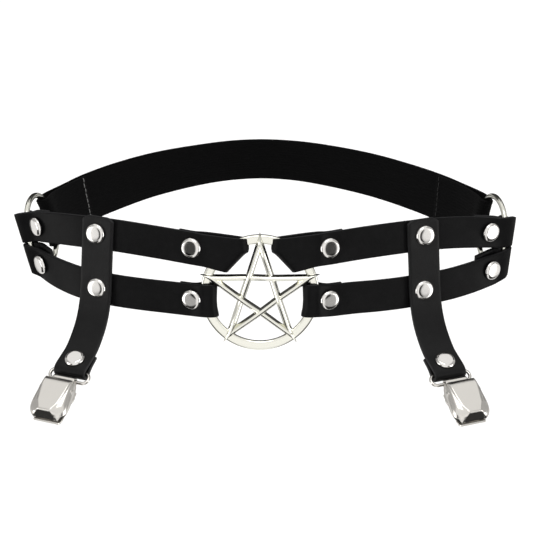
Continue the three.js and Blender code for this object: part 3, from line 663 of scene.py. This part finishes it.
STAR_LINES = [(90, 234), (162, 306), (234, 18), (306, 90), (18, 162)]
POINT_ANGLE = 36
FIRST_CROSSING = 0.382

# Section of a bar: places across its width, and its height there
BAR_ACROSS = np.array([0, 0.03, 0.25, 0.34, 0.42, 0.5, 0.58, 0.66, 0.75, 0.97, 1])
BAR_RISE = np.array([0, 0.14, 0.82, 0.905, 0.975, 1.0, 0.975, 0.905, 0.82, 0.14, 0])


def star_bar(start_angle, end_angle):
    """A bar with steep sides and a crowned top: one section carried along a line, tapering to a
    point at both ends, its base rising where it goes over another bar."""
    start = STAR_RADIUS * np.array([cos(start_angle), sin(start_angle), 0])
    end = STAR_RADIUS * np.array([cos(end_angle), sin(end_angle), 0])
    length = np.linalg.norm(end - start)
    along = (end - start) / length
    inward = unit(-(start + end))
    cross = length * FIRST_CROSSING
    tip = np.array([0, 0.4, 1.0, 1.8, 2.8])
    s = np.concatenate([tip, np.linspace(3.6, length - 3.6, 60), length - tip[::-1]])
    places = [0, 3, 9, cross - 1.6, cross + 2.2, length - cross - 2.2, length - cross + 1.6,
              length - 9, length - 3, length]
    base = np.interp(s, places, [0.5, 0.6, 1.0, 1.5, 1.5, 0.5, 0.5, 1.05, 0.72, 0.62])
    base = np.convolve(np.pad(base, 3, mode="edge"), np.ones(7) / 7, mode="valid")
    taper = np.tan(np.radians(POINT_ANGLE)) * 0.98
    wide = np.minimum(BAR_WIDTH, np.minimum(s, length - s) * taper) + 1e-3
    tall = BAR_HEIGHT * (0.5 + 0.5 * wide / BAR_WIDTH)
    grid = (start + s[:, None, None] * along + (wide[:, None] * BAR_ACROSS)[..., None] * inward
            + (base[:, None] + tall[:, None] * BAR_RISE)[..., None] * np.array([0, 0, 1]))
    middle = grid.mean(axis=1, keepdims=True)
    ends = [np.repeat(middle[[i]], len(BAR_RISE), axis=1) for i in (0, -1)]
    closed = np.concatenate([ends[0], grid, ends[1]])
    return shell(place(closed, star_frame), wrap_columns=True)


def band_ring(radius, half_width, half_thick, power, matrix, around=160, sides=28):
    """A ring whose section is a superellipse: the power says how square its shoulders are."""
    a = 2 * np.pi * np.arange(around) / around
    b = 2 * np.pi * np.arange(sides) / sides
    wide = half_width * np.sign(np.cos(b)) * np.abs(np.cos(b)) ** (2 / power)
    high = half_thick * np.sign(np.sin(b)) * np.abs(np.sin(b)) ** (2 / power)
    reach = radius + wide[None, :]
    grid = vec(reach * np.cos(a)[:, None], reach * np.sin(a)[:, None], high[None, :])
    return shell(place(grid, matrix), wrap_rows=True, wrap_columns=True)


# Clips. In a clip's own frame: down the clip, across it, and out of its front. The wire loop goes from
# the strap's wire, CLIP_REACH above the frame's origin, to the rolled tube. The hinge and the cover are
# given from that origin, and each clip has slid along its loop.

CLIP_REACH = 5.2
LOOP_REACH = 4.4
LOOP_HALF = 8.2
LOOP_CORNER = 2.2
TUBE = LOOP_REACH - CLIP_REACH
TUBE_RADIUS = 1.35
HINGE = (5.2, 2.2)
COVER_START = 1.0
COVER_LENGTH = 17.2
COVER_TOP = 5.4
SKIN = 0.5
PLATE_HALF = 6.7
PLATE_THICK = 0.7
SLIDE = {"left": -1.0, "right": 1.2}

# Where the cover narrows towards its nose and where its lobes begin to fall, and how long and how
# softly rounded its steep face is
NOSE_START = 11.6
LOBE_START = 11.2
FACE_LENGTH = 1.6
FACE_SOFTNESS = 0.12


def clip_frame(name, slide=0.0):
    """Frame of a clip, hung from the wire in the garter strap's fold and slid along that wire."""
    end = garter_end(name)
    down, lift, wire = end[:, 0], end[:, 2], end[:, 3]
    across = np.cross(lift, down)
    return frame_of(down, across, lift, wire + CLIP_REACH * down + slide * across)


def ease(t):
    """0 to 1 with level ends: 3t2 - 2t3."""
    t = np.clip(t, 0, 1)
    return t * t * (3 - 2 * t)


def cover_surface():
    """The stamped cover: height over its plan. A flat panel narrows from the hinge to the nose. Each
    side of it, past a shallow crease, the flank falls as a quarter of a superellipse to the rim. The
    panel bends down early, on a ramp whose corner is the logarithm of one plus an exponential, and
    the flanks late, as a superellipse, which leaves a round lobe at each corner of the nose."""
    run = np.concatenate([np.linspace(0, 0.62, 40), 0.62 + 0.38 * sin(np.linspace(3, 90, 46))])
    a = (COVER_START + (COVER_LENGTH - COVER_START) * run)[:, None]
    nose = np.clip((a - NOSE_START) / (COVER_LENGTH - NOSE_START), 0, 1)
    plan = np.interp(a, [0.6, 2.4, 5, 8, 11, 13], [6.4, 6.8, 7.2, 7.5, 7.75, 7.8])
    half = plan * (1 - 0.34 * nose**3)
    theta = np.linspace(-90, 90, 97)[None, :]
    b = half * np.sign(sin(theta)) * np.abs(sin(theta)) ** 0.75
    panel = np.interp(a, [0.6, 2.4, 7, 12, 14.2, 15.2, 17.2], [5.5, 5.4, 4.8, 3.8, 2.6, 2.3, 3.6])
    flank = np.clip((np.abs(b) - panel) / (half - panel), 0, 1)
    across = 1 - 0.1 * ease(flank / 0.3) - 0.9 * (1 - np.sqrt(1 - flank**2.4))
    face = (COVER_LENGTH - a) / FACE_LENGTH
    early = face - FACE_SOFTNESS * np.log1p(np.exp((face - 1) / FACE_SOFTNESS))
    late = np.sqrt(1 - np.clip((a - LOBE_START) / (COVER_LENGTH - LOBE_START), 0, 1) ** 2.6)
    along = early + (late - early) * ease(flank / 0.55)
    rim = np.interp(a, [0.6, 2.2, 3.8, 6.4, 9.0, 20], [2.7, 1.4, 0.9, 0.9, 1.25, 1.25])
    top = COVER_TOP - 1.3 * np.clip((4.4 - a) / 3.8, 0, 1) ** 2
    return vec(a + 0 * b, b, rim + (top - rim) * across * along)


def clip_cover(matrix):
    """The cover as a shell: its surface outside, and the same a skin further in along the normals."""
    outer = cover_surface()
    normal = unit(np.cross(np.gradient(outer, axis=0), np.gradient(outer, axis=1)))
    return sheet_skin(place(outer, matrix), place(outer - SKIN * normal, matrix))


def clip_plate(matrix):
    """Back plate in one sheet with the rolled tube at its top and the turned-up lip at its nose. Each
    station is its place down the clip, its height and its half width."""
    stations = [(TUBE + TUBE_RADIUS * cos(degrees), TUBE_RADIUS * sin(degrees), 4.6)
                for degrees in range(30, 271, 40)]
    stations += [(1.6, -1.2, 4.7), (3.4, -0.85, 5.6), (5.2, -0.8, 6.7), (7.2, -0.8, 6.7),
                 (9.0, -0.8, 6.0), (13.5, -0.8, 6.0), (15.8, -0.8, 6.0), (16.9, -0.75, 5.6),
                 (17.5, -0.3, 5.2), (17.6, 0.5, 5.0)]

    def row(a, c, half):
        return lambda v: place(vec(a, v * half / PLATE_HALF, c), matrix)

    part, _ = strap_sheet([row(*station) for station in stations], 2 * PLATE_HALF, PLATE_THICK,
                          spacing=0.35, across=1.1, rounding=0.2)
    return part


def clip_ears(matrix):
    """Two upright ears, each a rounded tab, with the hollow pin's turned-over end on its outside."""
    parts = []
    angle = np.linspace(-20, 200, 23)
    outline = [(HINGE[0] + 1.75 * cos(d), HINGE[1] + 1.75 * sin(d)) for d in angle]
    outline += [(3.3, -0.9), (7.1, -0.9)]
    pin_end = [(0, 0), (0.7, 0), (0.7, 6.7), (1.15, 6.72), (1.2, 6.9), (1.05, 7.12), (0.8, 7.15),
               (0.55, 7.0), (0.5, 6.0), (0, 6.0)]
    for side in (-1, 1):
        tab = frame_of(matrix[:, 0], matrix[:, 2], side * matrix[:, 1], matrix[:, 3])
        parts.append(prism(outline, 6.05, PLATE_HALF, 0.12, tab))
        pin = frame_of(matrix[:, 0], matrix[:, 2], side * matrix[:, 1],
                       place(np.array([HINGE[0], 0, HINGE[1]]), matrix))
        parts.append(lathe(pin_end, 28, pin))
    return parts


def wire_loop(matrix):
    """Rounded oblong of wire, from the strap's fold to the clip's rolled tube: four quarter circles
    joined by straight lines."""
    centre = np.array([-CLIP_REACH + LOOP_REACH / 2, 0.0])
    half = np.array([LOOP_REACH / 2, LOOP_HALF])
    turns = np.concatenate([np.linspace(k * 90, k * 90 + 90, 12) for k in range(4)])
    signs = np.repeat([(1, 1), (-1, 1), (-1, -1), (1, -1)], 12, axis=0)
    round_corner = LOOP_CORNER * np.stack([cos(turns), sin(turns)], axis=-1)
    flat = centre + signs * (half - LOOP_CORNER) + round_corner
    path = place(vec(flat[:, 0], flat[:, 1], 0), matrix)
    return tube(path, CLIP_WIRE, matrix[:, 2], 16)


# Materials


class Surface:
    """A material's node tree, with short ways to add and join nodes."""

    def __init__(self, name):
        self.material = bpy.data.materials.new(name)
        self.material.use_nodes = True
        self.tree = self.material.node_tree
        self.shader = self.tree.nodes["Principled BSDF"]

    def node(self, kind, inputs=None, **settings):
        """A node with its settings, and its inputs joined to sockets or set to values."""
        made = self.tree.nodes.new(kind)
        for key, value in settings.items():
            setattr(made, key, value)
        for key, value in (inputs or {}).items():
            self.feed(made.inputs[key], value)
        return made

    def feed(self, socket, value):
        """Joins a socket to an output, or sets its value."""
        if isinstance(value, bpy.types.NodeSocket):
            self.tree.links.new(value, socket)
        else:
            socket.default_value = value

    def set(self, **inputs):
        """Inputs of the main shader; an underscore stands for a space."""
        for key, value in inputs.items():
            self.feed(self.shader.inputs[key.replace("_", " ")], value)

    def place(self, scale=1.0):
        """Object coordinates, scaled."""
        coordinates = self.node("ShaderNodeTexCoord").outputs["Object"]
        return self.node("ShaderNodeMapping", {"Vector": coordinates, "Scale": (scale,) * 3}).outputs[0]

    def noise(self, where, scale, detail=3, roughness=0.5):
        """Noise between 0 and 1."""
        inputs = {"Vector": where, "Scale": scale, "Detail": detail, "Roughness": roughness}
        return self.node("ShaderNodeTexNoise", inputs).outputs["Fac"]

    def math(self, operation, a, b=0.0, c=0.0):
        """One step of arithmetic."""
        return self.node("ShaderNodeMath", {0: a, 1: b, 2: c}, operation=operation).outputs[0]

    def between(self, value, low, high, start, end):
        """Value moved from low..high to start..end."""
        inputs = {"Value": value, "From Min": low, "From Max": high, "To Min": start, "To Max": end}
        return self.node("ShaderNodeMapRange", inputs).outputs["Result"]

    def mix(self, share, first, second):
        """Two colours mixed by a share."""
        node = self.node("ShaderNodeMix", data_type="RGBA")
        self.feed(node.inputs["Factor"], share)
        self.feed(node.inputs[6], first)
        self.feed(node.inputs[7], second)
        return node.outputs[2]

    def bump(self, height, distance, strength=1.0, normal=None):
        """A normal bent by a height."""
        inputs = {"Height": height, "Distance": distance, "Strength": strength}
        if normal is not None:
            inputs["Normal"] = normal
        return self.node("ShaderNodeBump", inputs).outputs[0]


def strap_leather(name, shine):
    """Black imitation leather: fine pebbled grain, faint wear, and paler and rougher cut edges. Shine is
    its specular level."""
    m = Surface(name)
    where = m.place()
    cut = m.node("ShaderNodeAttribute", attribute_name="cut_edge").outputs["Fac"]
    pebble = m.node("ShaderNodeTexVoronoi", {"Vector": where, "Scale": 1700.0},
                    feature="SMOOTH_F1").outputs["Distance"]
    fine = m.noise(where, 3800.0, 2)
    cloud = m.noise(where, 70.0, 4)
    wear = m.between(m.noise(where, 320.0, 5, 0.65), 0.45, 0.75, 0.0, 1.0)
    black = m.mix(cloud, (0.0022, 0.0022, 0.0024, 1), (0.0046, 0.0046, 0.0050, 1))
    face = m.mix(m.math("MULTIPLY", wear, 0.2), black, (0.012, 0.012, 0.0125, 1))
    edge = m.between(cut, 0.35, 0.95, 0.0, 0.75)
    rough = m.between(cloud, 0.3, 0.7, 0.36, 0.45)
    grain = m.math("ADD", m.math("MULTIPLY", pebble, -0.8), m.math("MULTIPLY", fine, 0.35))
    m.set(Base_Color=m.mix(edge, face, (0.022, 0.022, 0.023, 1)),
          Roughness=m.math("ADD", rough, m.math("MULTIPLY", edge, 0.25)),
          Normal=m.bump(grain, 0.00006, 0.55), Specular_IOR_Level=shine)
    return m.material


def woven_elastic():
    """Matte black elastic: threads along it and close cross threads, slightly fuzzy, with painted shade in
    the weave's hollows.
    """
    m = Surface("woven_elastic")
    uv = m.node("ShaderNodeUVMap", uv_map="strip").outputs[0]
    split = m.node("ShaderNodeSeparateXYZ", {"Vector": uv}).outputs
    along = m.math("SINE", m.math("MULTIPLY", split[0], 2 * np.pi * MM_PER_UV / THREAD_PITCH))
    across = m.math("SINE", m.math("MULTIPLY", split[1], 2 * np.pi * MM_PER_UV / RIB_PITCH))
    weave = m.math("MULTIPLY", along, across)
    fuzz = m.noise(m.place(), 2600.0, 4, 0.7)
    height = m.math("ADD", m.math("MULTIPLY", weave, 0.5), m.math("MULTIPLY", fuzz, 0.8))
    # Colour follows the weave's height: darker in the weave's hollows, a painted shade, and varied at
    # random by the fuzz.
    tone = m.between(height, -0.4, 1.2, 0.0, 1.0)
    m.set(Base_Color=m.mix(tone, (0.0008, 0.0008, 0.0009, 1), (0.0036, 0.0036, 0.0038, 1)),
          Roughness=0.92, Normal=m.bump(height, 0.00008, 0.7), Sheen_Weight=0.01,
          Specular_IOR_Level=0.07)
    return m.material


def thread(name, tone):
    """Sewing thread: two twisted strands, slightly fuzzy."""
    m = Surface(name)
    where = m.place()
    twist = m.noise(where, 3500.0, 3, 0.7)
    dark, pale = (tone * 0.6, tone * 0.6, tone * 0.6, 1), (tone, tone, tone * 0.98, 1)
    m.set(Base_Color=m.mix(twist, dark, pale), Roughness=0.8, Normal=m.bump(twist, 0.00005, 0.6))
    return m.material


def polished(name, colour, low, high, dents):
    """Plated metal: an even mirror with faint wipe marks, its roughness from low to high, and very
    slight dents."""
    m = Surface(name)
    where = m.place()
    wipe = m.noise(where, 240.0, 6, 0.6)
    soft = m.noise(where, 150.0, 2)
    m.set(Base_Color=colour, Metallic=1.0, Roughness=m.between(wipe, 0.3, 0.7, low, high),
          Normal=m.bump(soft, dents, 0.6))
    return m.material


leather = strap_leather("strap_leather", 0.08)
garter_leather = strap_leather("garter_leather", 0.19)
elastic = woven_elastic()
silver = polished("cast_silver", (0.86, 0.855, 0.78, 1), 0.10, 0.17, 0.00006)
nickel = polished("nickel", (0.80, 0.785, 0.765, 1), 0.07, 0.13, 0.00003)
plated = polished("plated_steel", (0.72, 0.70, 0.665, 1), 0.15, 0.22, 0.00004)

# Pieces


for height, name in STRAPS:
    short = f"{height}_{name}"
    part, length = strap_sheet(strap_rows(height, name), STRAP_WIDTH, LEATHER,
                               press=pressed([f"rivet_{short}_ring", f"rivet_{short}_side"]))
    node = f"{height}_strap_{name}"
    strap = make_piece(f"leather_{short}", [part], leather, [node])

for name in SIDES:
    posts = [f"rivet_upper_{name}_post", f"rivet_lower_{name}_post", f"rivet_garter_{name}"]
    part, length = strap_sheet(garter_rows(name), GARTER_WIDTH, LEATHER, press=pressed(posts))
    strap = make_piece(f"leather_garter_{name}", [part], garter_leather,
                       [f"garter_strap_{name}"])

elastic_path, elastic_ends = elastic_rows()
part, length = strap_sheet(elastic_path, ELASTIC_WIDTH, ELASTIC_THICK, spacing=1.0, across=0.2,
                           rounding=0.3, ribs=elastic_ribs)
band = make_piece("elastic", [part], elastic, ["elastic_band"])
THREAD_TONES = {"left": 0.20, "right": 0.012}
for name, end in zip(SIDES, elastic_ends):
    sewing = thread(f"thread_{name}", THREAD_TONES[name])
    make_piece(f"stitches_{name}", stitches(*end), sewing)

ring = band_ring(RING_RADIUS, RING_HALF_WIDTH, RING_HALF_THICK, 3.0, star_frame, around=200, sides=48)
star = make_piece("star", [ring, *[star_bar(*line) for line in STAR_LINES]], silver,
                  ["star_ring"], crease=28)
for name in SIDES:
    wire = band_ring(SIDE_RING_RADIUS, SIDE_WIRE, SIDE_WIRE, 2, side_frames[name], around=120, sides=20)
    make_piece(f"wire_ring_{name}", [wire], silver, [f"side_ring_{name}"])

# Radius and height of a rivet's cap, from its middle out and down to its rim
CAP_OUTLINE = [
    (0, 1.42), (1.5, 1.41), (2.4, 1.375), (2.95, 1.31), (3.25, 1.2), (3.5, 1.02), (3.72, 0.77),
    (3.88, 0.5), (3.95, 0.24), (3.85, 0.04), (3.6, -0.1),
]
CAP_PROFILE = smooth(np.array(CAP_OUTLINE)[:, None], np.linspace(0, 10, 41))[:, 0].tolist()
CAP_PROFILE[0] = (0, CAP_PROFILE[0][1])


def rivet_profile(stack):
    """Radius and height down a rivet: its cap, its post through the stack, and the pressed back with a
    dimple."""
    back = -stack - 0.4
    return CAP_PROFILE + [(1.5, -0.1), (1.5, back), (2.7, back), (2.9, back - 0.2), (2.8, back - 0.6),
                          (2.2, back - 0.8), (0.8, back - 0.8), (0.7, back - 0.5), (0, back - 0.5)]


for name, spec in RIVETS.items():
    side = unit(np.cross(spec["out"], [0.1, 0.2, 1.0]))
    matrix = frame_of(side, np.cross(spec["out"], side), spec["out"], spec["at"])
    rivet = lathe(rivet_profile(spec["stack"]), 48, matrix)
    make_piece(f"cap_{name.removeprefix('rivet_')}", [rivet], nickel, [name])

for name in SIDES:
    matrix = clip_frame(name, SLIDE[name])
    make_piece(f"clip_plate_{name}", [clip_plate(matrix)], plated,
               [f"clip_frame_{name}"])
    make_piece(f"clip_ears_{name}", clip_ears(matrix), plated)
    make_piece(f"clip_cover_{name}", [clip_cover(matrix)], plated,
               [f"clip_lever_{name}"], body=f"{name}_lever", crease=50)
    make_piece(f"clip_loop_{name}", [wire_loop(clip_frame(name))], plated,
               [f"clip_wire_{name}"])

# Stage: floor, light and camera, in metres

FLOOR_HEIGHT = -0.11
FLOOR_REACH = 6.0


def make_floor():
    """A plain pale floor below the hanging clips, wide enough to fill the view, that polished metal
    doesn't show."""
    mesh = bpy.data.meshes.new("floor")
    signs = [(-1, -1), (1, -1), (1, 1), (-1, 1)]
    corners = [(x * FLOOR_REACH, y * FLOOR_REACH, FLOOR_HEIGHT) for x, y in signs]
    mesh.from_pydata(corners, [], [(0, 1, 2, 3)])
    floor = bpy.data.objects.new("floor", mesh)
    bpy.context.scene.collection.objects.link(floor)
    pale = bpy.data.materials.new("pale_floor")
    pale.use_nodes = True
    shader = pale.node_tree.nodes["Principled BSDF"]
    shader.inputs["Base Color"].default_value = (0.93, 0.93, 0.93, 1)
    shader.inputs["Roughness"].default_value = 0.9
    mesh.materials.append(pale)
    floor.visible_glossy = False


# Windows in the white studio, alike on both sides: lowest and highest azimuth from the front, lowest
# and highest elevation, and how much light is taken away there or, below zero, added.
WINDOWS = [
    (33, 43, -14, 6, 0.9),
    (41, 57, -27, -13, 0.5),
    (30, 100, -76, -30, 0.92),
    (166, 190, -6, 66, 0.92),
    (128, 166, 10, 46, 0.9),
    (62, 120, -8, 50, 0.45),
    (124, 190, -36, 4, 0.4),
    (-10, 14, -24, 16, -0.11),
    (58, 82, -24, 6, -2.2),
]
SOFT_EDGE = 5
STUDIO_WHITE = (1.0, 0.99, 0.975, 1)


def make_world():
    """White studio all round, dimmer overhead and changed in each window, by a smooth step in a
    direction's azimuth times one in its elevation."""
    world = bpy.data.worlds.new("studio")
    bpy.context.scene.world = world
    world.use_nodes = True
    tree = world.node_tree
    tree.nodes.clear()

    def join(value, socket):
        if isinstance(value, bpy.types.NodeSocket):
            tree.links.new(value, socket)
        else:
            socket.default_value = value

    def math(operation, a, b=0.0):
        node = tree.nodes.new("ShaderNodeMath")
        node.operation = operation
        join(a, node.inputs[0])
        join(b, node.inputs[1])
        return node.outputs[0]

    def step(value, low, high, start, end):
        node = tree.nodes.new("ShaderNodeMapRange")
        node.interpolation_type = "SMOOTHSTEP"
        for key, number in zip(("Value", "From Min", "From Max", "To Min", "To Max"),
                               (value, low, high, start, end)):
            join(number, node.inputs[key])
        return node.outputs["Result"]

    where = tree.nodes.new("ShaderNodeTexCoord").outputs["Generated"]
    split = tree.nodes.new("ShaderNodeSeparateXYZ")
    tree.links.new(where, split.inputs[0])
    x, y, z = split.outputs
    aside = math("ABSOLUTE", math("ARCTAN2", x, math("MULTIPLY", y, -1.0)))
    aside = math("MULTIPLY", aside, 180 / np.pi)
    raised = math("MULTIPLY", math("ARCSINE", z), 180 / np.pi)
    strength = step(raised, 66, 84, 0.96, 0.8)
    for near_side, far_side, lowest, highest, depth in WINDOWS:
        span = math("MULTIPLY", step(aside, near_side - SOFT_EDGE, near_side, 0.0, depth),
                    step(aside, far_side, far_side + SOFT_EDGE, 1.0, 0.0))
        rise = math("MULTIPLY", step(raised, lowest - SOFT_EDGE, lowest, 0.0, 1.0),
                    step(raised, highest, highest + SOFT_EDGE, 1.0, 0.0))
        strength = math("SUBTRACT", strength, math("MULTIPLY", span, rise))
    strength = math("MAXIMUM", strength, 0.0)
    background = tree.nodes.new("ShaderNodeBackground")
    background.inputs["Color"].default_value = STUDIO_WHITE
    output = tree.nodes.new("ShaderNodeOutputWorld")
    tree.links.new(strength, background.inputs["Strength"])
    tree.links.new(background.outputs[0], output.inputs["Surface"])


def add_light(name, at, size, power, shines):
    """A square soft light aimed at the middle of the loop; shines is whether polished metal shows it."""
    data = bpy.data.lights.new(name, "AREA")
    data.size = size
    data.energy = power
    lamp = bpy.data.objects.new(name, data)
    bpy.context.scene.collection.objects.link(lamp)
    lamp.location = at
    lamp.rotation_euler = (-Vector(at)).to_track_quat("-Z", "Y").to_euler()
    lamp.visible_glossy = shines


# The camera, fitted to the photograph: its aim and distance in metres, its focal length in pixels of
# the photograph's frame
ELEVATION = 22
DISTANCE = 0.7
AIM = Vector((0.00206, -0.0585, 0.0))
FOCAL_PIXELS = 1840.5
FRAME_PIXELS = 533
SENSOR_WIDTH = 36


def make_camera():
    """The photograph's view: 22 degrees above level from the front, 0.7 m away."""
    data = bpy.data.cameras.new("camera")
    data.sensor_width = SENSOR_WIDTH
    data.lens = data.sensor_width * FOCAL_PIXELS / FRAME_PIXELS
    camera = bpy.data.objects.new("camera", data)
    bpy.context.scene.collection.objects.link(camera)
    back = Vector((0, -cos(ELEVATION), sin(ELEVATION)))
    camera.location = AIM + DISTANCE * back
    camera.rotation_euler = (-back).to_track_quat("-Z", "Y").to_euler()
    bpy.context.scene.camera = camera


make_floor()
make_world()
make_camera()
add_light("floor_fill", (0.0, 0.2, 1.7), 1.6, 22, shines=False)
add_light("overhead", (0.0, -0.45, 1.0), 0.6, 2.0, shines=True)
bpy.context.scene.view_settings.view_transform = "Standard"
